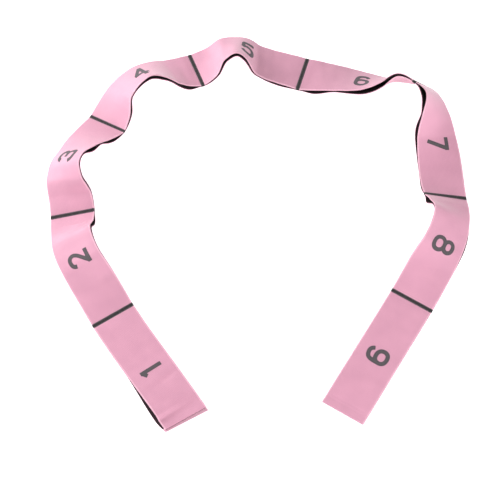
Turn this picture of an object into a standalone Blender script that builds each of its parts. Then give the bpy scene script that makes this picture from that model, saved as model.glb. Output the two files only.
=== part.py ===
"""A stretching strap for physiotherapy: nine hand loops woven from two layers of elastic webbing.

The strap lies on a flat surface in an arch that opens towards -Y. Its two end loops lie flat, and
round the arch the band leans on its outer edge. Lengths are in metres and +Z is up. The origin is
on the surface, under the middle of the strap.
"""

import math
from collections import namedtuple

import bmesh
import bpy
import numpy as np
from mathutils import Matrix, Vector

MM = 0.001

# Driving dimensions of the webbing
LOOP_COUNT = 9
LOOP_PITCH = 115 * MM  # from one dividing seam to the next
WEB_WIDTH = 40 * MM
LAYER_THICKNESS = 1.0 * MM
LAYER_GAP = 0.3 * MM  # least space between the two layers of a loop

# Where the two layers are woven into one
SEAM_LENGTH = 2.4 * MM
SEAM_THICKNESS = 1.8 * MM
SEAM_MARGIN = 1.6 * MM  # from a seam's centre line to the ends of the layers beside it

# The cut ends beyond the last seams
FLAP_LENGTH = 8 * MM  # from a closing seam's centre line to the cut end
END_SKEW = 4.5 * MM  # how far the inner corner of the lower layer sticks out at end 1

# The hinge axes lie on the dividing seams, and the middle loop carries the others
ROOT_LOOP = 5

# Facets along and across a layer: the flat end loop needs few
FACETS_ALONG = {9: 6}
FACETS_ALONG_CURVED = 20
FACETS_ACROSS = 2

# How the strap lies. Each station gives the place along the strap, counted in loops from end 1,
# the outer edge's x and y in millimetres, the band's height there, the heading of the line across
# the band from its outer to its inner edge, and that line's lean above the surface, in degrees.
Station = namedtuple("Station", "place x y height heading lean")
LAY = [
    Station(0.00, -77, -188, 0, 34, 0),
    Station(0.50, -109, -142, 0, 34, 0),
    Station(1.00, -141, -95, 0, 32, 0),
    Station(1.25, -156, -70, 2, 29, 11),
    Station(1.50, -170, -46, 10, 22, 25),
    Station(1.70, -178, -25, 10, 19, 25),
    Station(1.82, -180, -12, 5, 13, 17),
    Station(1.90, -181, -4, 2, 9, 13),
    Station(2.00, -182, 8, 0, 7, 10),
    Station(2.15, -184, 25, 2, 4, 18),
    Station(2.30, -186, 41, 9, -12, 30),
    Station(2.50, -180, 62, 9, -18, 42),
    Station(2.65, -172, 78, 8, -23, 33),
    Station(2.80, -163, 93, 4, -29, 23),
    Station(3.00, -151, 110, 0, -33, 15),
    Station(3.15, -142, 125, 3, -38, 22),
    Station(3.30, -132, 139, 7, -50, 35),
    Station(3.50, -114, 154, 10, -53, 41),
    Station(3.65, -99, 162, 7, -58, 33),
    Station(3.80, -83, 167, 2, -67, 23),
    Station(4.00, -62, 174, 0, -70, 12),
    Station(4.15, -46, 180, 2, -73, 20),
    Station(4.30, -31, 187, 8, -84, 31),
    Station(4.40, -19, 188, 8, -88, 38),
    Station(4.50, -8, 187, 7, -93, 32),
    Station(4.60, 3, 183, 2, -101, 24),
    Station(4.75, 19, 178, 0, -105, 17),
    Station(5.00, 47, 170, 0, -105, 14),
    Station(5.25, 74, 163, 0, -106, 23),
    Station(5.50, 101, 155, 0, -108, 35),
    Station(5.70, 122, 148, 1, -117, 52),
    Station(5.85, 138, 143, 5, -134, 64),
    Station(6.00, 153, 137, 8, -132, 60),
    Station(6.12, 164, 128, 8, -134, 57),
    Station(6.25, 172, 114, 6, -148, 44),
    Station(6.50, 180, 86, 1, -169, 20),
    Station(6.75, 184, 56, 0, -174, 7),
    Station(6.90, 185, 39, 0, -176, 10),
    Station(7.00, 186, 27, 0, -179, 17),
    Station(7.12, 187, 13, 4, -185, 25),
    Station(7.25, 186, -3, 7, -193, 34),
    Station(7.50, 178, -31, 7, -199, 28),
    Station(7.75, 165, -57, 3, -209, 8),
    Station(8.00, 151, -81, 0, -211, 0),
    Station(8.50, 120, -132, 0, -211, 0),
    Station(9.00, 89, -183, 0, -211, 0),
]
LAY_SHIFT = (-0.47, -0.35)  # millimetres that bring the middle of the strap over the origin

# The slack between a loop's layers, at its inner and outer edges in millimetres, with its widest
# place and its end as shares of the layers' length. The upper layer takes it where the lower one
# lies flat.
Slack = namedtuple("Slack", "inner outer widest end upper_rises")
SLACK = {
    1: Slack(0.0, 5.5, 0.08, 0.55, True),
    2: Slack(1.5, 0.0, 0.88, 1.0, False),
    3: Slack(2.5, 0.0, 0.65, 1.0, False),
    4: Slack(2.5, 0.0, 0.60, 1.0, False),
    5: Slack(2.5, 0.0, 0.45, 1.0, False),
    6: Slack(5.0, 0.0, 0.60, 1.0, False),
    7: Slack(4.5, 0.0, 0.20, 1.0, False),
    8: Slack(3.0, 0.0, 0.12, 0.4, False),
    9: Slack(0.4, 0.4, 0.50, 1.0, True),
}
# The lower layer of loop 1 has slipped this far out beyond the upper one
LOWER_SLIP = {1: 2.0 * MM}

PINK = (0.78, 0.38, 0.50)
DARK_GREY = (0.045, 0.04, 0.042)


def natural_spline(knots, values, at):
    """The natural cubic spline through the values, read at the given places."""
    steps = np.diff(knots)
    slopes = np.diff(values) / steps
    system = np.eye(len(knots))
    right = np.zeros(len(knots))
    for i in range(1, len(knots) - 1):
        system[i, i - 1 : i + 2] = steps[i - 1], 2 * (steps[i - 1] + steps[i]), steps[i]
        right[i] = 6 * (slopes[i] - slopes[i - 1])
    bend = np.linalg.solve(system, right)
    i = np.clip(np.searchsorted(knots, at, side="right") - 1, 0, len(steps) - 1)
    step = steps[i]
    after = at - knots[i]
    before = step - after
    cubic = (bend[i] * before**3 + bend[i + 1] * after**3) / (6 * step)
    start = (values[i] / step - bend[i] * step / 6) * before
    end = (values[i + 1] / step - bend[i + 1] * step / 6) * after
    return cubic + start + end


def level_spline(knots, values, at):
    """A curve through the values that stays between neighbours, so a level stretch stays level."""
    steps = np.diff(knots)
    slopes = np.diff(values) / steps
    tangents = np.zeros(len(knots))
    for i in range(1, len(steps)):
        if slopes[i - 1] * slopes[i] > 0:
            tangents[i] = 2 / (1 / slopes[i - 1] + 1 / slopes[i])
    i = np.clip(np.searchsorted(knots, at, side="right") - 1, 0, len(steps) - 1)
    u = (at - knots[i]) / steps[i]
    start = values[i] * (1 + 2 * u) + tangents[i] * steps[i] * u
    end = values[i + 1] * (3 - 2 * u) + tangents[i + 1] * steps[i] * (u - 1)
    return start * (1 - u) ** 2 + end * u**2


def edge_and_across(place):
    """The outer edge's points and the unit directions from it to the inner edge."""
    knots, x, y, height, heading, lean = np.array(LAY, float).T
    shift_x, shift_y = LAY_SHIFT
    edge = np.stack(
        [
            natural_spline(knots, x + shift_x, place) * MM,
            natural_spline(knots, y + shift_y, place) * MM,
            level_spline(knots, height, place) * MM + LAYER_THICKNESS + LAYER_GAP / 2,
        ],
        axis=-1,
    )
    heading = np.radians(natural_spline(knots, heading, place))
    lean = np.radians(level_spline(knots, lean, place))
    across = np.stack(
        [np.cos(lean) * np.cos(heading), np.cos(lean) * np.sin(heading), np.sin(lean)],
        axis=-1,
    )
    return edge, across


def band_point(place, share, lift, slip=0.0):
    """Points of the band: share 0 is its outer edge and 1 its inner edge, and lift is the height
    above the band's middle surface, along its normal. slip moves them out, across the band."""
    near = 0.002
    share = np.asarray(share)[..., None]
    edge, across = edge_and_across(place)
    edge_on, across_on = edge_and_across(place + near)
    edge_back, across_back = edge_and_across(place - near)
    along = edge_on - edge_back + (across_on - across_back) * share * WEB_WIDTH
    normal = np.cross(across, along)
    normal /= np.linalg.norm(normal, axis=-1, keepdims=True)
    lift = np.asarray(lift)[..., None]
    slip = np.asarray(slip)[..., None]
    return edge + across * (share * WEB_WIDTH - slip) + normal * lift


def swell(along, slack):
    """A smooth hump along a layer: 0 at its start and at the slack's end, 1 at the widest place."""
    rising = along / slack.widest
    falling = (slack.end - along) / (slack.end - slack.widest)
    return np.sin(math.pi / 2 * np.clip(np.minimum(rising, falling), 0, 1)) ** 2


def layer_lift(loop, side, along, share):
    """How far a layer's middle is above (side 1) or below (side -1) the band's middle surface."""
    slack = SLACK[loop]
    opening = (slack.outer * (1 - share) + slack.inner * share) * MM * swell(along, slack)
    moves = slack.upper_rises == (side > 0)
    return side * ((LAYER_THICKNESS + LAYER_GAP) / 2 + (opening if moves else 0))


def add_sheet(name, shape, facets, thickness, material, pivot, collection):
    """One piece of webbing: a grid laid out by shape(along, across) and given its thickness."""
    grid = bmesh.new()
    bmesh.ops.create_grid(grid, x_segments=facets[0], y_segments=facets[1], size=1)
    shares = np.array([vertex.co[:2] for vertex in grid.verts]) / 2 + 0.5
    for vertex, point in zip(grid.verts, shape(shares[:, 0], shares[:, 1])):
        vertex.co = point
    mesh = bpy.data.meshes.new(name)
    grid.to_mesh(mesh)
    grid.free()
    mesh.transform(pivot.matrix_world.inverted())
    mesh.materials.append(material)
    piece = bpy.data.objects.new(name, mesh)
    collection.objects.link(piece)
    piece.parent = pivot
    shell = piece.modifiers.new("webbing_thickness", "SOLIDIFY")
    shell.thickness = thickness
    shell.offset = 0
    shell.use_even_offset = True
    return piece


def add_layer(loop, side, materials, pivot, collection):
    """The upper (side 1) or lower (side -1) layer of one loop, between its two seams."""
    margin = SEAM_MARGIN / LOOP_PITCH
    closing = FLAP_LENGTH / LOOP_PITCH
    start = loop - 1 + margin + (closing if loop == 1 else 0)
    end = loop - margin - (closing if loop == LOOP_COUNT else 0)
    slip = LOWER_SLIP.get(loop, 0.0) if side < 0 else 0.0

    def shape(along, across):
        lift = layer_lift(loop, side, along, across)
        place = start + (end - start) * along
        return band_point(place, across, lift, slip * swell(along, SLACK[loop]))

    facets = (FACETS_ALONG.get(loop, FACETS_ALONG_CURVED), FACETS_ACROSS)
    name = f"loop_{loop}_{'top' if side > 0 else 'bottom'}"
    add_sheet(name, shape, facets, LAYER_THICKNESS, materials["webbing"], pivot, collection)


def add_seam(name, centre, material, pivot, collection):
    """A bar where the two layers are woven into one, across the whole width of the band."""
    half = SEAM_LENGTH / 2 / LOOP_PITCH

    def shape(along, across):
        return band_point(centre + half * (2 * along - 1), across, 0 * across)

    add_sheet(name, shape, (2, FACETS_ACROSS), SEAM_THICKNESS, material, pivot, collection)


def add_flap(loop, side, material, pivot, collection):
    """One layer of a cut end, from the closing seam to the end of the strap."""
    inside = (FLAP_LENGTH - SEAM_MARGIN) / LOOP_PITCH
    skew = END_SKEW / LOOP_PITCH if loop == 1 and side < 0 else 0

    def shape(along, across):
        if loop == 1:
            place = inside * along - skew * across * (1 - along)
        else:
            place = loop - inside * (1 - along)
        lift = side * (LAYER_THICKNESS + LAYER_GAP) / 2
        return band_point(place, across, lift + 0 * across)

    name = f"end_{loop}_flap_{'top' if side > 0 else 'bottom'}"
    add_sheet(name, shape, (2, FACETS_ACROSS), LAYER_THICKNESS, material, pivot, collection)


def add_pivot(name, matrix, parent, collection):
    pivot = bpy.data.objects.new(name, None)
    pivot.empty_display_size = 10 * MM
    collection.objects.link(pivot)
    pivot.parent = parent
    pivot.matrix_basis = parent.matrix_world.inverted() @ matrix if parent else matrix
    bpy.context.view_layer.update()
    return pivot


def hinge_matrix(seam):
    """A frame on the middle of a dividing seam, with its Z along the seam."""
    ends = band_point(np.array([seam, seam], float), np.array([0.0, 1.0]), np.zeros(2))
    outer, inner = Vector(ends[0]), Vector(ends[1])
    turn = (inner - outer).to_track_quat("Z", "Y")
    return Matrix.Translation((outer + inner) / 2) @ turn.to_matrix().to_4x4()


def add_pivots(collection):
    """One pivot for each loop: the middle loop's at the origin, the others' on their seams."""
    pivots = {ROOT_LOOP: add_pivot("strap", Matrix.Identity(4), None, collection)}
    for loop in range(ROOT_LOOP + 1, LOOP_COUNT + 1):
        name = f"hinge_{loop - 1}_{loop}"
        pivots[loop] = add_pivot(name, hinge_matrix(loop - 1), pivots[loop - 1], collection)
    for loop in range(ROOT_LOOP - 1, 0, -1):
        name = f"hinge_{loop}_{loop + 1}"
        pivots[loop] = add_pivot(name, hinge_matrix(loop), pivots[loop + 1], collection)
    return pivots


def make_material(name, colour, roughness):
    material = bpy.data.materials.new(name)
    material.use_nodes = True
    shader = material.node_tree.nodes["Principled BSDF"]
    shader.inputs["Base Color"].default_value = (*colour, 1)
    shader.inputs["Roughness"].default_value = roughness
    shader.inputs["Metallic"].default_value = 0
    return material


def clear_scene():
    for old in list(bpy.data.objects):
        bpy.data.objects.remove(old, do_unlink=True)


def build_strap():
    collection = bpy.data.collections.new("stretching_strap")
    bpy.context.scene.collection.children.link(collection)
    materials = {
        "webbing": make_material("pink_elastic_webbing", PINK, 0.85),
        "seam": make_material("dark_grey_seam", DARK_GREY, 0.8),
        "end": make_material("pink_woven_end", PINK, 0.85),
    }
    pivots = add_pivots(collection)
    for loop in range(1, LOOP_COUNT + 1):
        for side in (1, -1):
            add_layer(loop, side, materials, pivots[loop], collection)
    for seam in range(1, LOOP_COUNT):
        holder = seam + 1 if seam < ROOT_LOOP else seam
        name = f"seam_{seam}_{seam + 1}"
        add_seam(name, seam, materials["seam"], pivots[holder], collection)
    closing = FLAP_LENGTH / LOOP_PITCH
    for loop, centre in ((1, closing), (LOOP_COUNT, LOOP_COUNT - closing)):
        add_seam(f"end_{loop}_seam", centre, materials["end"], pivots[loop], collection)
        for side in (1, -1):
            add_flap(loop, side, materials["end"], pivots[loop], collection)


clear_scene()
build_strap()
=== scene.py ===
"""The looks of a stretching strap: two layers of pink elastic webbing, woven into nine loops.

Each layer of each loop is a closed sheet of fine mesh with its own selvedges, pink outside and dark
inside. Short sheets carry both layers over each dividing seam, and a bar of dark yarn floats runs
round them there. The digits are thin patches of grey yarn on the upper layers.
"""

import math
from collections import namedtuple

import bpy
import numpy as np
from mathutils import Matrix, Vector


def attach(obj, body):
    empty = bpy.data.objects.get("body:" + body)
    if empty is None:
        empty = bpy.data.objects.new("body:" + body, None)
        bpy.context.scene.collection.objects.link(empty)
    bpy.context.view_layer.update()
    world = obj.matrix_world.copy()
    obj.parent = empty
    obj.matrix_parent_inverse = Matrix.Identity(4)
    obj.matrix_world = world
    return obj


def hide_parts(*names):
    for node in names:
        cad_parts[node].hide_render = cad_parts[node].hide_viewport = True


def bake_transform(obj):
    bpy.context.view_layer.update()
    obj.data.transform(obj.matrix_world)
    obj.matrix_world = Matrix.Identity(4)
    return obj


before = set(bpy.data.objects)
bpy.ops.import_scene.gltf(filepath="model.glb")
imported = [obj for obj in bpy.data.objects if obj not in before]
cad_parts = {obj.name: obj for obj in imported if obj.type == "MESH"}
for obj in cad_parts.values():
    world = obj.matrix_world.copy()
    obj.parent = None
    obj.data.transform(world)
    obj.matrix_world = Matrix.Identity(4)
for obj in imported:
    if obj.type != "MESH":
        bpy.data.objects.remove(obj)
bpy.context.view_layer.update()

MM = 0.001

# The webbing, as in the CAD
LOOP_COUNT = 9
LOOP_PITCH = 115 * MM  # from one dividing seam to the next
WEB_WIDTH = 40 * MM
LAYER_THICKNESS = 1.0 * MM  # at the selvedges, which are the thickest place
LAYER_GAP = 0.3 * MM
FLAP_LENGTH = 8 * MM  # from a closing seam to the cut end

# How the strap lies: the place along it in loops from end 1, the outer edge's x, y and height in
# millimetres, and the heading and lean of the line across it, outer to inner edge, in degrees
Station = namedtuple("Station", "place x y height heading lean")
LAY = [
    Station(0.00, -77, -188, 0, 34, 0),
    Station(0.50, -109, -142, 0, 34, 0),
    Station(1.00, -141, -95, 0, 32, 0),
    Station(1.25, -156, -70, 2, 29, 11),
    Station(1.50, -170, -46, 10, 22, 25),
    Station(1.70, -178, -25, 10, 19, 25),
    Station(1.82, -180, -12, 5, 13, 17),
    Station(1.90, -181, -4, 2, 9, 13),
    Station(2.00, -182, 8, 0, 7, 10),
    Station(2.15, -184, 25, 2, 4, 18),
    Station(2.30, -186, 41, 9, -12, 30),
    Station(2.50, -180, 62, 9, -18, 42),
    Station(2.65, -172, 78, 8, -23, 33),
    Station(2.80, -163, 93, 4, -29, 23),
    Station(3.00, -151, 110, 0, -33, 15),
    Station(3.15, -142, 125, 3, -38, 22),
    Station(3.30, -132, 139, 7, -50, 35),
    Station(3.50, -114, 154, 10, -53, 41),
    Station(3.65, -99, 162, 7, -58, 33),
    Station(3.80, -83, 167, 2, -67, 23),
    Station(4.00, -62, 174, 0, -70, 12),
    Station(4.15, -46, 180, 2, -73, 20),
    Station(4.30, -31, 187, 8, -84, 31),
    Station(4.40, -19, 188, 8, -88, 38),
    Station(4.50, -8, 187, 7, -93, 32),
    Station(4.60, 3, 183, 2, -101, 24),
    Station(4.75, 19, 178, 0, -105, 17),
    Station(5.00, 47, 170, 0, -105, 14),
    Station(5.25, 74, 163, 0, -106, 23),
    Station(5.50, 101, 155, 0, -108, 35),
    Station(5.70, 122, 148, 1, -117, 52),
    Station(5.85, 138, 143, 5, -134, 64),
    Station(6.00, 153, 137, 8, -132, 60),
    Station(6.12, 164, 128, 8, -134, 57),
    Station(6.25, 172, 114, 6, -148, 44),
    Station(6.50, 180, 86, 1, -169, 20),
    Station(6.75, 184, 56, 0, -174, 7),
    Station(6.90, 185, 39, 0, -176, 10),
    Station(7.00, 186, 27, 0, -179, 17),
    Station(7.12, 187, 13, 4, -185, 25),
    Station(7.25, 186, -3, 7, -193, 34),
    Station(7.50, 178, -31, 7, -199, 28),
    Station(7.75, 165, -57, 3, -209, 8),
    Station(8.00, 151, -81, 0, -211, 0),
    Station(8.50, 120, -132, 0, -211, 0),
    Station(9.00, 89, -183, 0, -211, 0),
]
LAY_SHIFT = (-0.47, -0.35)  # millimetres that bring the middle of the strap over the origin
NEAR = 0.002  # of a loop, to each side of a place when its direction along the band is worked out

# The layers, by their side of the band's middle, and the edges, by their share of its width
UPPER, LOWER = 1, -1
OUTER, INNER = 0, 1

# How far each layer sticks out at the outer and the inner edge of the cut end 1
END_SKEW = {UPPER: (0.0, 2.4 * MM), LOWER: (1.3 * MM, 5.2 * MM)}

# Where a layer stands away from the other one, at one edge of the band. Places are in loops from
# end 1, and sizes here and below are in millimetres
Opening = namedtuple("Opening", "layer edge start widest end size")
OPENINGS = [
    Opening(UPPER, OUTER, 0.078, 0.130, 0.58, 3.4),
    Opening(LOWER, INNER, 1.50, 1.91, 1.985, 2.4),
    Opening(LOWER, INNER, 2.02, 2.15, 2.42, 0.8),
    Opening(LOWER, INNER, 2.49, 2.60, 2.72, 2.5),
    Opening(LOWER, INNER, 2.69, 2.84, 2.985, 2.1),
    Opening(LOWER, INNER, 3.02, 3.15, 3.30, 1.0),
    Opening(LOWER, INNER, 3.28, 3.58, 3.82, 1.8),
    Opening(LOWER, INNER, 3.70, 3.89, 3.985, 2.9),
    Opening(LOWER, INNER, 4.02, 4.40, 4.70, 1.6),
    Opening(LOWER, INNER, 4.65, 4.85, 4.985, 1.2),
    Opening(LOWER, INNER, 5.02, 5.14, 5.33, 2.6),
    Opening(LOWER, INNER, 5.25, 5.60, 5.985, 3.4),
    Opening(LOWER, INNER, 6.015, 6.13, 6.32, 3.2),
    Opening(LOWER, INNER, 6.25, 6.45, 6.80, 3.4),
    Opening(LOWER, INNER, 6.75, 6.87, 6.98, 0.9),
    Opening(LOWER, INNER, 7.015, 7.08, 7.20, 3.4),
]

# Where the lower layer has slipped out past the upper one's outer edge
Slip = namedtuple("Slip", "start widest end size")
SLIPS = [Slip(-0.06, 0.10, 0.58, 2.5), Slip(7.10, 7.40, 7.76, 1.8)]

# Creases of the upper layer: the middle's place and share of the width, the turn from straight
# across in degrees, and the length, width and height in millimetres
Crease = namedtuple("Crease", "place share turn length width height")
CREASES = [
    Crease(0.155, 0.50, 0, 30, 5.0, 0.35),
    Crease(0.345, 0.70, 8, 11, 2.6, -0.85),
    Crease(0.400, 0.65, 6, 14, 3.6, 0.35),
    Crease(1.835, 0.70, -14, 15, 3.0, 0.75),
    Crease(1.780, 0.60, -12, 14, 4.5, -0.25),
    Crease(2.110, 0.60, 4, 20, 3.5, -0.30),
    Crease(2.900, 0.45, 6, 24, 5.0, 0.30),
    Crease(3.880, 0.55, -6, 20, 4.5, -0.35),
    Crease(4.560, 0.60, 5, 22, 4.0, -0.40),
    Crease(5.160, 0.55, 10, 20, 4.5, 0.35),
    Crease(8.720, 0.40, 12, 22, 5.0, 0.28),
    Crease(8.860, 0.60, 8, 24, 5.0, -0.20),
]

# Bends of both layers together, given like the creases
BENDS = [
    Crease(2.450, 0.55, -6, 26, 8.5, 2.6),
    Crease(4.555, 0.55, 4, 26, 3.4, 0.7),
    Crease(4.625, 0.60, 6, 26, 3.2, -0.6),
    Crease(4.700, 0.55, 6, 22, 3.5, 0.5),
]

# The two layers near a line where they are woven together
CLOSING = FLAP_LENGTH / LOOP_PITCH
WOVEN_LINES = [CLOSING, *range(1, LOOP_COUNT), LOOP_COUNT - CLOSING]
APART = (LAYER_THICKNESS + LAYER_GAP) / 2  # from the band's middle to each layer's middle
JOINED = 0.51 * MM
JOIN_FLAT = 2.3 * MM  # the layers lie flat under the dark bar, this far each side of the line
JOIN_LENGTH = 2.2 * MM
LIP_OFF = 2.95 * MM  # the webbing swells beside a line of stitches, this far from it
LIP_WIDTH = 0.55 * MM
LIP_HEIGHT = 0.16 * MM
PUFF_LENGTH = 6 * MM  # the upper layer is fullest this far from the line
PUFF_HEIGHT = 0.4 * MM
WAVE_HEIGHT = 0.12 * MM
LONG_WAVES = (41, 2.3)  # radians per loop along the band, and per width across it
CROSS_WAVES = (-17, 3.1)

# The mesh of a layer
FACE_HALF_THICKNESS = 0.45 * MM
SELVEDGE_HALF_THICKNESS = LAYER_THICKNESS / 2
SELVEDGE_WIDTH = 1.3 * MM
CUT_EDGE = 1.7 * MM  # the edge of a cut end, where the layers are not dark inside
STEP_ALONG = 1.0 * MM
STEP_OVER_SEAM = 0.4 * MM
EDGE_SPOTS = [0.55, 0.9, 1.2, 1.5, 1.9, 2.4]  # millimetres in from an edge, where the mesh is fine
EDGE_ANGLES = [22.5, 67.5]  # the points of a rounded edge, in degrees from its middle

# A dividing seam
SEAM_REACH = 6 * MM  # the sheets over a seam run this far each side of its line
BAR_LENGTH = 4.1 * MM
BAR_HEIGHT = 0.24 * MM
BAR_SINK = 0.02 * MM  # the foot of a bar lies this far inside the webbing
BAR_SPOTS = 9  # along the arch of a bar's section
BAR_END_RADIUS = 0.5  # where a bar turns round an edge of the band, in millimetres
BAR_UNEVEN = 0.12  # how much a float's length varies, as a share of it
LOWER_SIDE_OFFSET = 50  # millimetres in the weave map between a bar's upper and its lower floats
FLOAT_PITCH = 1.0 * MM  # from one dark yarn float to the next, across the band

# A digit
DIGIT_RELIEF = 0.09 * MM
DIGIT_DEPTH = 0.2 * MM
DIGIT_STEP = 0.45  # of the grid a digit is cut from, in millimetres
DIGIT_REACH = np.array([8, 11])  # half of the grid's width and height, in millimetres
EDGE_CLEARANCE = 0.01  # no grid point lies nearer than this to a stroke's outline, in millimetres
SPOTS_PER_CORNER = 6  # along the curve of a stroke
STROKE_WIDTH = 3.65  # millimetres

# The middle lines of each digit's strokes, in millimetres from its own middle
HOOK = [(5.1, 5.2), (3.5, 7.7), (0, 8.6), (-3.9, 6.8), (-5.3, 2.6), (-5.4, -2.8)]
RING = [
    (0, -8.6), (4.1, -7.2), (5.5, -3.5), (4.1, 0.2),
    (0, 1.6), (-4.1, 0.2), (-5.5, -3.5), (-4.1, -7.2), (0, -8.6),
]
STROKES = {
    1: [[(1.5, 10.2), (1.5, -10.2)], [(1.5, 8.6), (-2.7, 5.6)]],
    2: [
        [(-5.3, 4.4), (-3.9, 7.5), (0, 8.6), (4.0, 7.3), (5.3, 4.3), (4.1, 0.9), (0, -3.2), (-5.0, -8.0)],
        [(-6.8, -8.5), (6.8, -8.5)],
    ],
    3: [
        [(-5.0, 5.0), (-3.6, 7.6), (0, 8.6), (3.8, 7.4), (5.0, 4.7), (3.7, 1.6), (-1.6, 0.6)],
        [(-1.6, 0.6), (3.9, -0.6), (5.5, -4.1), (4.2, -7.5), (0, -8.6), (-4.0, -7.5), (-5.5, -4.6)],
    ],
    4: [[(2.6, 10.2), (2.6, -10.2)], [(2.6, 8.6), (-5.5, -3.6)], [(-6.9, -4.2), (6.9, -4.2)]],
    5: [
        [(-4.8, 8.5), (5.8, 8.5)],
        [(-3.9, 8.6), (-4.9, 0.2)],
        [
            (-5.4, 0.0), (-2.6, 1.9), (0.6, 2.3), (4.2, 0.6),
            (5.5, -3.2), (4.2, -7.1), (0, -8.6), (-4.0, -7.5),
            (-5.5, -4.9),
        ],
    ],
    6: [HOOK, RING],
    7: [[(-5.2, 8.5), (6.9, 8.5)], [(5.4, 8.5), (-1.8, -10.2)]],
    8: [
        [
            (0, 9.2), (-3.9, 8.0), (-5.2, 5.0), (-3.9, 2.0),
            (0, 0.8), (3.9, 2.0), (5.2, 5.0), (3.9, 8.0), (0, 9.2),
        ],
        [
            (0, 0.8), (-4.4, -0.6), (-5.9, -4.2), (-4.4, -7.8),
            (0, -9.2), (4.4, -7.8), (5.9, -4.2), (4.4, -0.6),
            (0, 0.8),
        ],
    ],
    9: [[(-x, -y) for x, y in stroke] for stroke in (HOOK, RING)],
}
DIGIT_SHIFT = {1: -5.0 * MM, 7: 3.2 * MM}  # how far a digit is from its loop's middle, along the strap

# The weave
RIB_PITCH = 0.95 * MM
WALE_PITCH = 1.15 * MM


# --- the band's shape, as in the CAD ---------------------------------------------------------


def natural_spline(knots, values, at):
    """The natural cubic spline through the values, read at the given places."""
    steps = np.diff(knots)
    slopes = np.diff(values) / steps
    system = np.eye(len(knots))
    right = np.zeros(len(knots))
    for i in range(1, len(knots) - 1):
        system[i, i - 1 : i + 2] = steps[i - 1], 2 * (steps[i - 1] + steps[i]), steps[i]
        right[i] = 6 * (slopes[i] - slopes[i - 1])
    bend = np.linalg.solve(system, right)
    i = np.clip(np.searchsorted(knots, at, side="right") - 1, 0, len(steps) - 1)
    step = steps[i]
    after = at - knots[i]
    before = step - after
    cubic = (bend[i] * before**3 + bend[i + 1] * after**3) / (6 * step)
    start = (values[i] / step - bend[i] * step / 6) * before
    end = (values[i + 1] / step - bend[i + 1] * step / 6) * after
    return cubic + start + end


def level_spline(knots, values, at):
    """A curve through the values that stays between neighbours, so a level stretch stays level."""
    steps = np.diff(knots)
    slopes = np.diff(values) / steps
    tangents = np.zeros(len(knots))
    for i in range(1, len(steps)):
        if slopes[i - 1] * slopes[i] > 0:
            tangents[i] = 2 / (1 / slopes[i - 1] + 1 / slopes[i])
    i = np.clip(np.searchsorted(knots, at, side="right") - 1, 0, len(steps) - 1)
    u = (at - knots[i]) / steps[i]
    start = values[i] * (1 + 2 * u) + tangents[i] * steps[i] * u
    end = values[i + 1] * (3 - 2 * u) + tangents[i + 1] * steps[i] * (u - 1)
    return start * (1 - u) ** 2 + end * u**2


def edge_and_across(place):
    """The outer edge's points and the unit directions from it to the inner edge."""
    knots, x, y, height, heading, lean = np.array(LAY, float).T
    shift_x, shift_y = LAY_SHIFT
    edge = np.stack(
        [
            natural_spline(knots, x + shift_x, place) * MM,
            natural_spline(knots, y + shift_y, place) * MM,
            level_spline(knots, height, place) * MM + LAYER_THICKNESS + LAYER_GAP / 2,
        ],
        axis=-1,
    )
    heading = np.radians(natural_spline(knots, heading, place))
    lean = np.radians(level_spline(knots, lean, place))
    across = np.stack(
        [np.cos(lean) * np.cos(heading), np.cos(lean) * np.sin(heading), np.sin(lean)],
        axis=-1,
    )
    return edge, across


def band_point(place, share, lift, slip=0.0):
    """Points of the band: share 0 is its outer edge and 1 its inner edge, and lift is the height
    above the band's middle surface, along its normal. slip moves them out, across the band."""
    share = np.asarray(share)[..., None]
    edge, across = edge_and_across(place)
    edge_on, across_on = edge_and_across(place + NEAR)
    edge_back, across_back = edge_and_across(place - NEAR)
    along = edge_on - edge_back + (across_on - across_back) * share * WEB_WIDTH
    normal = np.cross(across, along)
    normal /= np.linalg.norm(normal, axis=-1, keepdims=True)
    lift = np.asarray(lift)[..., None]
    slip = np.asarray(slip)[..., None]
    return edge + across * (share * WEB_WIDTH - slip) + normal * lift


# --- how the two layers lie in the band ------------------------------------------------------


def swell(place, opening):
    """A smooth hump: 0 where the opening starts and ends, and 1 at its widest place."""
    rising = (place - opening.start) / (opening.widest - opening.start)
    falling = (opening.end - place) / (opening.end - opening.widest)
    return np.sin(math.pi / 2 * np.clip(np.minimum(rising, falling), 0, 1)) ** 2


def crease_height(crease, place, share):
    """How far a crease lifts the webbing at each point."""
    turn = math.radians(crease.turn)
    along = (place - crease.place) * LOOP_PITCH / MM
    across = (share - crease.share) * WEB_WIDTH / MM
    down_it = across * math.cos(turn) + along * math.sin(turn)
    over_it = along * math.cos(turn) - across * math.sin(turn)
    return crease.height * MM * np.exp(-((down_it / crease.length) ** 2) - (over_it / crease.width) ** 2)


def layer_lift(layer, place, share):
    """The height of a layer's middle surface above the band's middle surface."""
    lines = np.array(WOVEN_LINES, float)
    from_line = np.abs(place[..., None] - lines).min(-1) * LOOP_PITCH
    off = np.maximum(from_line - JOIN_FLAT, 0)
    lift = APART + (JOINED - APART) * np.exp(-((off / JOIN_LENGTH) ** 2))
    lift = lift + LIP_HEIGHT * np.exp(-(((from_line - LIP_OFF) / LIP_WIDTH) ** 2))
    for opening in OPENINGS:
        if opening.layer == layer:
            weight = share if opening.edge == INNER else 1 - share
            lift = lift + opening.size * MM * weight * swell(place, opening)
    if layer == UPPER:
        lift = lift + PUFF_HEIGHT * off / PUFF_LENGTH * np.exp(1 - off / PUFF_LENGTH)
        long_wave = np.sin(place * LONG_WAVES[0] + share * LONG_WAVES[1])
        cross_wave = np.cos(place * CROSS_WAVES[0] + share * CROSS_WAVES[1])
        wave = 1 + long_wave * cross_wave
        lift = lift + WAVE_HEIGHT * wave * (1 - np.exp(-((off / PUFF_LENGTH) ** 2)))
        for crease in CREASES:
            lift = lift + crease_height(crease, place, share)
    return layer * lift + sum(crease_height(bend, place, share) for bend in BENDS)


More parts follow.
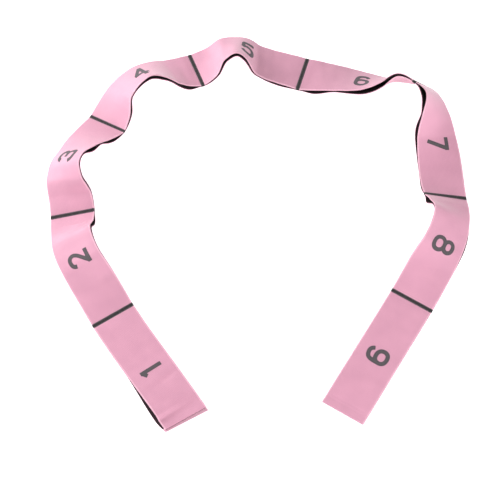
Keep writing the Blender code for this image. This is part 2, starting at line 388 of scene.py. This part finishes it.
def layer_slip(layer, place):
    """How far a layer has slipped out across the band."""
    if layer == UPPER:
        return np.zeros_like(place)
    return sum(slip.size * MM * swell(place, slip) for slip in SLIPS)


def layer_point(layer, place, share, up):
    """Points of a layer, up above its middle surface."""
    middle = np.clip(share, 0, 1)
    lift = layer_lift(layer, place, middle)
    return band_point(place, share, lift + up, layer_slip(layer, place))


# --- meshes ----------------------------------------------------------------------------------


def new_piece(name, mesh, materials):
    for material in materials:
        mesh.materials.append(material)
    piece = bpy.data.objects.new(name, mesh)
    bpy.context.scene.collection.objects.link(piece)
    return piece


def weave_map(mesh, places):
    """A UV map in millimetres along and across the webbing, from each vertex's own place."""
    layer = mesh.uv_layers.new(name="weave")
    corner = np.zeros(len(mesh.loops), np.int32)
    mesh.loops.foreach_get("vertex_index", corner)
    layer.data.foreach_set("uv", places[corner].astype(np.float32).ravel())


def half_thickness(mm_in):
    """A layer's half thickness, by the distance in from the nearer edge: the selvedge is a cord."""
    cord = np.exp(-(((mm_in - 0.75) / 0.6) ** 2))
    groove = np.exp(-(((mm_in - 1.7) / 0.35) ** 2))
    thicker = SELVEDGE_HALF_THICKNESS - FACE_HALF_THICKNESS
    return FACE_HALF_THICKNESS + thicker * cord - 0.8 * thicker * groove


def layer_profile():
    """The closed outline of a layer across the band: each point's share of the width and its
    height. The first half is the upper face from outer to inner edge, the rest mirrors it."""
    width = WEB_WIDTH / MM
    inside = np.arange(math.ceil(EDGE_SPOTS[-1]) + 1, width - EDGE_SPOTS[-1] - 1)
    spots = np.array([*EDGE_SPOTS, *inside, *[width - spot for spot in reversed(EDGE_SPOTS)]])
    half = half_thickness(np.minimum(spots, width - spots))
    angles = np.radians(EDGE_ANGLES)
    rounding_in = SELVEDGE_HALF_THICKNESS / MM * (1 - np.cos(angles))
    rounding_up = SELVEDGE_HALF_THICKNESS * np.sin(angles)
    across = np.concatenate([rounding_in, spots, width - rounding_in[::-1]])
    up = np.concatenate([rounding_up, half, rounding_up[::-1]])
    share = across * MM / WEB_WIDTH
    return np.concatenate([share, share[::-1]]), np.concatenate([up, -up[::-1]])


def layer_sheet(name, layer, start, end, materials, skew=(0.0, 0.0)):
    """One layer of the webbing from start to end, as a closed sheet with rounded selvedges. skew is
    how far its start sticks out at the outer and the inner edge."""
    share, up = layer_profile()
    count = len(share)
    length = (end - start) * LOOP_PITCH
    step = STEP_ALONG if length > 2 * SEAM_REACH + MM else STEP_OVER_SEAM
    rows = round(length / step) + 1
    along = np.linspace(0, 1, rows)[:, None]
    pull = np.clip(1 - along * length / FLAP_LENGTH, 0, 1) * (skew[0] + (skew[1] - skew[0]) * share)
    place = start + (end - start) * along - pull / LOOP_PITCH
    share = np.broadcast_to(share, place.shape)
    up = np.broadcast_to(up, place.shape)
    points = layer_point(layer, place, share, up).reshape(-1, 3)
    faces = []
    slots = []
    half = count // 2
    pink, inside, selvedge = range(3)
    edge_share = SELVEDGE_WIDTH / WEB_WIDTH
    for row in range(rows - 1):
        in_loop = CUT_EDGE < place[row, 0] * LOOP_PITCH < LOOP_COUNT * LOOP_PITCH - CUT_EDGE
        for i in range(count):
            j = (i + 1) % count
            faces.append((row * count + i, row * count + j, (row + 1) * count + j, (row + 1) * count + i))
            middle = (share[0, i] + share[0, j]) / 2
            # The lower layer's strip past the upper layer's cut end at end 1 takes the pale selvedge
            # material: painted light on it.
            painted_light_strip = layer == LOWER and place[row, i] < 0
            at_edge = not edge_share < middle < 1 - edge_share or painted_light_strip
            round_edge = i in (half - 1, count - 1)
            # Faces towards the gap between the layers take the dark inside material: dark yarn, and
            # painted shade where that gap is shaded.
            faces_in = (i < half) == (layer == LOWER) and not round_edge
            slots.append(inside if faces_in and in_loop else selvedge if at_edge else pink)
    smooth = [True] * len(faces)
    for row, flip in ((0, True), (rows - 1, False)):
        # The caps take the dark inside material and the cut ends stay pink, except the upper layer's cut
        # end at end 1. That cap is left dark as a painted shadow line over the lower layer.
        pink_cut_end = row == 0 and start == 0 and layer == LOWER or row > 0 and end == LOOP_COUNT
        for i in range(half - 1):
            face = [row * count + n for n in (i, i + 1, count - 2 - i, count - 1 - i)]
            faces.append(face[::-1] if flip else face)
            slots.append(pink if pink_cut_end else inside)
            smooth.append(False)
    mesh = bpy.data.meshes.new(name)
    mesh.from_pydata(points.tolist(), [], faces)
    mesh.polygons.foreach_set("material_index", slots)
    mesh.polygons.foreach_set("use_smooth", smooth)
    ends = np.zeros(len(mesh.edges) * 2, np.int32)
    mesh.edges.foreach_get("vertices", ends)
    row_of = ends.reshape(-1, 2) // count
    rim = (row_of[:, 0] == row_of[:, 1]) & np.isin(row_of[:, 0], (0, rows - 1))
    mesh.edges.foreach_set("use_edge_sharp", rim)
    weave = np.stack([place * LOOP_PITCH / MM, share * WEB_WIDTH / MM], -1).reshape(-1, 2)
    weave_map(mesh, weave)
    return new_piece(name, mesh, materials)


def seam_bar(name, seam, material):
    """The dark yarn floats of a dividing seam, one beside the other right round the band."""
    width = WEB_WIDTH / MM
    flat = np.arange(BAR_END_RADIUS, width - 0.4, 0.2)
    angles = np.radians(np.arange(15, 180, 15))
    rest = JOINED + FACE_HALF_THICKNESS - BAR_SINK
    inner = width - BAR_END_RADIUS + BAR_END_RADIUS * np.sin(angles)
    outer = BAR_END_RADIUS - BAR_END_RADIUS * np.sin(angles)
    across = np.concatenate([flat, inner, flat[::-1], outer])
    turn = np.cos(angles) * rest
    surface = np.concatenate([rest + 0 * flat, turn, -rest + 0 * flat, -turn])
    side = np.concatenate([1 + 0 * flat, np.cos(angles), -1 + 0 * flat, -np.cos(angles)])
    outward = np.concatenate([0 * flat, np.sin(angles), 0 * flat, -np.sin(angles)])
    pitch = FLOAT_PITCH / MM
    bulge = 0.45 + 0.55 * np.abs(np.sin(math.pi * across / pitch)) ** 0.6
    # The section along the band: a low arch, closed by a back that lies just inside the webbing
    span = np.linspace(-1, 1, BAR_SPOTS)
    arch = (1 - np.abs(span) ** 3) ** 0.5
    span = np.concatenate([span, [0.5, -0.5]])
    arch = np.concatenate([arch - 0.1, [-0.8, -0.8]])
    height = BAR_HEIGHT * np.where(arch > 0, arch * bulge[:, None], arch)
    uneven = BAR_UNEVEN * np.sin(across * 7.3 + side)[:, None]
    place = seam + (span * BAR_LENGTH / 2 * (1 + uneven * np.abs(span))) / LOOP_PITCH
    share = (across[:, None] * MM + outward[:, None] * height) / WEB_WIDTH
    points = band_point(place, share, surface[:, None] + side[:, None] * height)
    around, section = place.shape
    faces = []
    for i in range(around):
        for j in range(section):
            n, m = (i + 1) % around, (j + 1) % section
            faces.append((i * section + j, i * section + m, n * section + m, n * section + j))
    mesh = bpy.data.meshes.new(name)
    mesh.from_pydata(points.reshape(-1, 3).tolist(), [], faces)
    lengthwise = np.broadcast_to(span * BAR_LENGTH / 2 / MM, place.shape)
    crosswise = np.broadcast_to((across + LOWER_SIDE_OFFSET * (side < 0))[:, None], place.shape)
    weave_map(mesh, np.stack([lengthwise, crosswise], -1).reshape(-1, 2))
    mesh.shade_smooth()
    return new_piece(name, mesh, [material])


def stroke_distance(points, stroke):
    """The distance from each point to the middle line of a stroke. An open stroke has square ends."""
    line = stroke_line(stroke)
    starts, steps = line[:-1], np.diff(line, axis=0)
    to_point = points[:, None] - starts
    run = np.clip((to_point * steps).sum(-1) / (steps**2).sum(-1), 0, 1)
    distance = np.linalg.norm(to_point - run[..., None] * steps, axis=-1).min(-1)
    if stroke[0] == stroke[-1]:
        return distance
    for end, before in ((line[0], line[1]), (line[-1], line[-2])):
        outward = (end - before) / np.linalg.norm(end - before)
        past = (points - end) @ outward
        near = np.linalg.norm(points - end, axis=-1) < STROKE_WIDTH
        distance = np.where(near, np.maximum(distance, past + STROKE_WIDTH / 2), distance)
    return distance


def stroke_line(stroke):
    """A stroke's middle line: straight between two points, and otherwise a curve through all."""
    corners = np.array(stroke, float)
    if len(corners) == 2:
        return corners
    closed = stroke[0] == stroke[-1]
    if closed:
        corners = np.concatenate([corners[-4:-1], corners, corners[1:4]])
    run = np.concatenate([[0], np.cumsum(np.linalg.norm(np.diff(corners, axis=0), axis=1))])
    first, last = (3, -4) if closed else (0, -1)
    at = np.linspace(run[first], run[last], SPOTS_PER_CORNER * len(corners))
    return np.stack([natural_spline(run, values, at) for values in corners.T], axis=-1)


def digit_patch(name, digit, material):
    """A digit in grey yarn, laid on the upper layer near the middle of its loop. Its top is towards
    the outer edge. A fine grid is cut off where it leaves the strokes."""
    counts = np.ceil(DIGIT_REACH / DIGIT_STEP).astype(int)
    across, up = (np.arange(-count, count + 1) * DIGIT_STEP for count in counts)
    grid = np.stack(np.meshgrid(across, up, indexing="ij"), -1)
    flat_grid = grid.reshape(-1, 2)
    distances = [stroke_distance(flat_grid, stroke) for stroke in STROKES[digit]]
    field = (STROKE_WIDTH / 2 - np.min(distances, axis=0)).reshape(grid.shape[:2])
    field = np.where(np.abs(field) < EDGE_CLEARANCE, EDGE_CLEARANCE, field)
    spots = []
    numbers = {}

    def number(key, spot):
        if key not in numbers:
            numbers[key] = len(spots)
            spots.append(spot)
        return numbers[key]

    faces = []
    for i in range(len(across) - 1):
        for j in range(len(up) - 1):
            corners = [(i, j), (i + 1, j), (i + 1, j + 1), (i, j + 1)]
            face = []
            for here, there in zip(corners, corners[1:] + corners[:1]):
                if field[here] > 0:
                    face.append(number(here, grid[here]))
                if (field[here] > 0) != (field[there] > 0):
                    first, last = sorted((here, there))
                    run = field[first] / (field[first] - field[last])
                    spot = grid[first] + (grid[last] - grid[first]) * run
                    face.append(number((first, last), spot))
            if len(face) > 2:
                faces.append(face)
    local = np.array(spots)
    place = digit - 0.5 + (local[:, 0] * MM + DIGIT_SHIFT.get(digit, 0)) / LOOP_PITCH
    share = 0.5 - local[:, 1] * MM / WEB_WIDTH
    points = layer_point(UPPER, place, share, FACE_HALF_THICKNESS + DIGIT_RELIEF)
    mesh = bpy.data.meshes.new(name)
    mesh.from_pydata(points.tolist(), [], faces)
    weave_map(mesh, np.stack([place * LOOP_PITCH / MM, share * WEB_WIDTH / MM], -1))
    mesh.shade_smooth()
    piece = new_piece(name, mesh, [material])
    depth = piece.modifiers.new("yarn_depth", "SOLIDIFY")
    depth.thickness = DIGIT_DEPTH
    depth.offset = -1
    return piece


# --- materials -------------------------------------------------------------------------------


class Nodes:
    """A material's node tree, with short ways to add nodes to it."""

    def __init__(self, name):
        self.material = bpy.data.materials.new(name)
        self.material.use_nodes = True
        self.tree = self.material.node_tree
        self.shader = self.tree.nodes["Principled BSDF"]

    def add(self, kind, **settings):
        node = self.tree.nodes.new("ShaderNode" + kind)
        for key, value in settings.items():
            setattr(node, key, value)
        return node

    def link(self, source, target):
        if hasattr(source, "is_output"):
            self.tree.links.new(source, target)
        else:
            target.default_value = source

    def math(self, operation, *values):
        node = self.add("Math", operation=operation)
        for value, socket in zip(values, node.inputs):
            self.link(value, socket)
        return node.outputs[0]

    def noise(self, vector, scale, detail=2.0):
        node = self.add("TexNoise")
        self.link(vector, node.inputs["Vector"])
        node.inputs["Scale"].default_value = scale
        node.inputs["Detail"].default_value = detail
        return node.outputs["Fac"]

    def ramp(self, factor, stops):
        node = self.add("ValToRGB")
        elements = node.color_ramp.elements
        while len(elements) < len(stops):
            elements.new(0.5)
        for element, (position, colour) in zip(elements, stops):
            element.position = position
            element.color = (*colour, 1)
        self.link(factor, node.inputs["Fac"])
        return node.outputs["Color"]

    def mix(self, factor, first, second, blend="MIX"):
        node = self.add("Mix", data_type="RGBA", blend_type=blend)
        self.link(factor, node.inputs["Factor"])
        for value, socket in ((first, node.inputs[6]), (second, node.inputs[7])):
            self.link((*value, 1) if isinstance(value, tuple) else value, socket)
        return node.outputs[2]


def weave_height(nodes, along, across, rib, wale):
    """The height of a ribbed weave, 0 in the furrows and 1 on the yarns. Each second column of
    yarns is set off by half a rib."""
    column = nodes.math("DIVIDE", across, wale)
    offset = nodes.math("MULTIPLY", nodes.math("FLOOR", nodes.math("MODULO", column, 2.0)), 0.5)
    row = nodes.math("ADD", nodes.math("DIVIDE", along, rib), offset)
    rib_wave = nodes.math("ABSOLUTE", nodes.math("SINE", nodes.math("MULTIPLY", row, math.pi)))
    wale_wave = nodes.math("ABSOLUTE", nodes.math("SINE", nodes.math("MULTIPLY", column, math.pi)))
    return nodes.math("MULTIPLY", nodes.math("POWER", rib_wave, 0.6), nodes.math("POWER", wale_wave, 0.35))


def woven_material(name, furrow_shade, yarn, rib, wale, relief, fleck, roughness, sheen, sheen_tint):
    """Yarn in a ribbed weave: darker in the furrows as painted shade, with slow and fine changes of tone.
    """
    nodes = Nodes(name)
    where = nodes.add("UVMap", uv_map="weave").outputs["UV"]
    parts = nodes.add("SeparateXYZ")
    nodes.link(where, parts.inputs[0])
    height = weave_height(nodes, parts.outputs["X"], parts.outputs["Y"], rib / MM, wale / MM)
    # The furrows between the yarns are coloured darker: painted shade.
    colour = nodes.ramp(height, [(0.0, furrow_shade), (0.75, yarn)])
    slow = nodes.ramp(nodes.noise(where, 0.06), [(0.3, (0.93, 0.92, 0.93)), (0.7, (1.0, 1.0, 1.0))])
    fine = nodes.ramp(nodes.noise(where, 1.7, 4.0), [(0.3, (1 - fleck,) * 3), (0.7, (1.0, 1.0, 1.0))])
    colour = nodes.mix(1.0, nodes.mix(1.0, colour, slow, "MULTIPLY"), fine, "MULTIPLY")
    nodes.link(colour, nodes.shader.inputs["Base Color"])
    bump = nodes.add("Bump")
    bump.inputs["Strength"].default_value = 0.55
    bump.inputs["Distance"].default_value = relief
    fuzz = nodes.math("MULTIPLY", nodes.noise(where, 2.6, 3.0), 0.35)
    nodes.link(nodes.math("ADD", height, fuzz), bump.inputs["Height"])
    nodes.link(bump.outputs["Normal"], nodes.shader.inputs["Normal"])
    nodes.shader.inputs["Roughness"].default_value = roughness
    nodes.shader.inputs["Specular IOR Level"].default_value = 0.5
    nodes.shader.inputs["Sheen Weight"].default_value = sheen
    nodes.shader.inputs["Sheen Roughness"].default_value = 0.45
    nodes.shader.inputs["Sheen Tint"].default_value = (*sheen_tint, 1)
    return nodes.material


def float_material():
    """The dark yarn floats of a seam: nearly black in the middle, greyer and uneven at the ends."""
    nodes = Nodes("dark_seam_floats")
    where = nodes.add("UVMap", uv_map="weave").outputs["UV"]
    parts = nodes.add("SeparateXYZ")
    nodes.link(where, parts.inputs[0])
    across = parts.outputs["Y"]
    strand = nodes.math("DIVIDE", across, FLOAT_PITCH / MM)
    ridge = nodes.math("ABSOLUTE", nodes.math("SINE", nodes.math("MULTIPLY", strand, math.pi)))
    out = nodes.math("DIVIDE", nodes.math("ABSOLUTE", parts.outputs["X"]), BAR_LENGTH / 2 / MM)
    uneven = nodes.noise(where, 0.8, 3.0)
    grey = nodes.math("ADD", nodes.math("MULTIPLY", out, 0.55), nodes.math("MULTIPLY", uneven, 0.7))
    colour = nodes.ramp(grey, [(0.38, (0.016, 0.013, 0.014)), (0.95, (0.125, 0.115, 0.12))])
    shade = nodes.ramp(ridge, [(0.0, (0.35, 0.35, 0.35)), (0.7, (1.0, 1.0, 1.0))])
    nodes.link(nodes.mix(1.0, colour, shade, "MULTIPLY"), nodes.shader.inputs["Base Color"])
    bump = nodes.add("Bump")
    bump.inputs["Strength"].default_value = 0.5
    bump.inputs["Distance"].default_value = 0.1 * MM
    nodes.link(nodes.noise(where, 3.0, 3.0), bump.inputs["Height"])
    nodes.link(bump.outputs["Normal"], nodes.shader.inputs["Normal"])
    nodes.shader.inputs["Roughness"].default_value = 0.75
    nodes.shader.inputs["Specular IOR Level"].default_value = 0.2
    nodes.shader.inputs["Sheen Weight"].default_value = 0.15
    return nodes.material


def make_materials():
    pink = woven_material(
        "pink_webbing_face", (0.54, 0.229, 0.335), (0.715, 0.345, 0.463),
        RIB_PITCH, WALE_PITCH, 0.12 * MM, 0.10, 0.6, 0.4, (1.0, 0.97, 0.95),
    )
    # Dark inside of the layers: dark yarn, and painted shade in the gaps between the layers.
    inside = woven_material(
        "dark_yarn_and_painted_shade_inside", (0.010, 0.004, 0.006), (0.035, 0.014, 0.020),
        RIB_PITCH, WALE_PITCH, 0.12 * MM, 0.25, 0.9, 0.05, (0.6, 0.5, 0.5),
    )
    # Pale selvedges. The same material is laid on the lower layer's strip past end 1 as painted light.
    selvedge = woven_material(
        "pale_selvedge_and_painted_light", (0.66, 0.31, 0.42), (0.86, 0.50, 0.61),
        0.8 * MM, 0.7 * MM, 0.15 * MM, 0.08, 0.85, 0.3, (1.0, 0.85, 0.9),
    )
    digit = woven_material(
        "grey_digit_yarn", (0.045, 0.038, 0.042), (0.108, 0.093, 0.102),
        RIB_PITCH, WALE_PITCH / 2, 0.10 * MM, 0.22, 0.85, 0.15, (0.9, 0.8, 0.85),
    )
    return {"layer": [pink, inside, selvedge], "digit": digit, "float": float_material()}


# --- the pieces ------------------------------------------------------------------------------


def side_name(layer):
    return "top" if layer == UPPER else "bottom"


def add_layers(materials):
    """The layers of every loop between the sheets over the seams, out to the cut ends at loops 1 and 9."""
    reach = SEAM_REACH / LOOP_PITCH
    for loop in range(1, LOOP_COUNT + 1):
        for layer in (LOWER, UPPER):
            start = 0.0 if loop == 1 else loop - 1 + reach
            end = float(LOOP_COUNT) if loop == LOOP_COUNT else loop - reach
            skew = END_SKEW[layer] if loop == 1 else (0.0, 0.0)
            side = side_name(layer)
            name = f"webbing_{loop}_{side}"
            piece = layer_sheet(name, layer, start, end, materials["layer"], skew)
            stood_for = [f"loop_{loop}_{side}"]
            if loop in (1, LOOP_COUNT):
                stood_for.append(f"end_{loop}_flap_{side}")
                if layer == UPPER:
                    stood_for.append(f"end_{loop}_seam")
            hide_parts(*stood_for)
            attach(piece, f"loop_{loop}")


def add_digits(materials):
    for loop in range(1, LOOP_COUNT + 1):
        piece = digit_patch(f"digit_{loop}", loop, materials["digit"])
        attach(piece, f"loop_{loop}")


def bend_across(piece, seam):
    """Bakes the placing of a piece over a dividing seam into its mesh. The direction along the band
    across the seam is worked out, but nothing uses it."""
    reach = SEAM_REACH / LOOP_PITCH
    share = np.array([0.0, 0.5, 1.0])
    before = band_point(np.full(3, seam - reach), share, np.zeros(3))
    after = band_point(np.full(3, seam + reach), share, np.zeros(3))
    along = after.mean(0) - before.mean(0)
    along /= np.linalg.norm(along)
    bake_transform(piece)


def add_seams(materials):
    """Both layers over each dividing seam, and the dark bar round them."""
    reach = SEAM_REACH / LOOP_PITCH
    for seam in range(1, LOOP_COUNT):
        for layer in (LOWER, UPPER):
            name = f"webbing_over_seam_{seam}_{seam + 1}_{side_name(layer)}"
            piece = layer_sheet(name, layer, seam - reach, seam + reach, materials["layer"])
            bend_across(piece, seam)
        bar = seam_bar(f"seam_bar_{seam}_{seam + 1}", seam, materials["float"])
        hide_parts(f"seam_{seam}_{seam + 1}")
        bend_across(bar, seam)


# --- the stage -------------------------------------------------------------------------------


def add_floor():
    below_strap = 0.02 * MM
    bpy.ops.mesh.primitive_plane_add(size=30, location=(0, 0, -below_strap))
    floor = bpy.context.object
    floor.name = "floor"
    nodes = Nodes("pale_floor")
    nodes.shader.inputs["Base Color"].default_value = (0.9, 0.9, 0.9, 1)
    nodes.shader.inputs["Roughness"].default_value = 1.0
    nodes.shader.inputs["Specular IOR Level"].default_value = 0.0
    nodes.shader.inputs["Emission Color"].default_value = (1, 1, 1, 1)
    nodes.shader.inputs["Emission Strength"].default_value = 0.6
    floor.data.materials.append(nodes.material)


def add_light(name, place, size, power):
    light = bpy.data.lights.new(name, "AREA")
    light.shape = "DISK"
    light.size = size
    light.energy = power
    lamp = bpy.data.objects.new(name, light)
    lamp.location = place
    lamp.rotation_euler = Vector(place).to_track_quat("Z", "Y").to_euler()
    bpy.context.scene.collection.objects.link(lamp)


def polar(azimuth, elevation, distance):
    """A place by its direction from the strap in degrees and its distance."""
    azimuth, elevation = math.radians(azimuth), math.radians(elevation)
    level = distance * math.cos(elevation)
    return level * math.cos(azimuth), level * math.sin(azimuth), distance * math.sin(elevation)


def add_lights():
    world = bpy.data.worlds.new("studio")
    world.use_nodes = True
    world.node_tree.nodes["Background"].inputs["Color"].default_value = (1, 1, 1, 1)
    world.node_tree.nodes["Background"].inputs["Strength"].default_value = 0.51
    bpy.context.scene.world = world
    away = 1.5
    size = 0.9
    add_light("key", polar(150, 22, away), size, 25)
    add_light("fill", polar(325, 20, away), size, 15)
    add_light("front", polar(250, 28, away), size, 8)


def add_camera():
    """The camera looks down at the strap from in front of the arch's open side."""
    elevation = math.radians(66)
    distance = 1.5
    picture_width = 500
    target = Vector((-6 + LAY_SHIFT[0], -22 + LAY_SHIFT[1], 0)) * MM
    pixels_per_metre = 1140  # at the target
    back = Vector((0, -math.cos(elevation), math.sin(elevation)))
    camera = bpy.data.cameras.new("camera")
    camera.sensor_width = 36
    camera.lens = camera.sensor_width * pixels_per_metre * distance / picture_width
    eye = bpy.data.objects.new("camera", camera)
    turn = back.to_track_quat("Z", "Y").to_matrix().to_4x4()
    eye.matrix_world = Matrix.Translation(target + back * distance) @ turn
    bpy.context.scene.collection.objects.link(eye)
    bpy.context.scene.camera = eye


bpy.context.scene.view_settings.view_transform = "Standard"
materials = make_materials()
add_camera()
add_lights()
add_floor()
add_layers(materials)
add_seams(materials)
add_digits(materials)
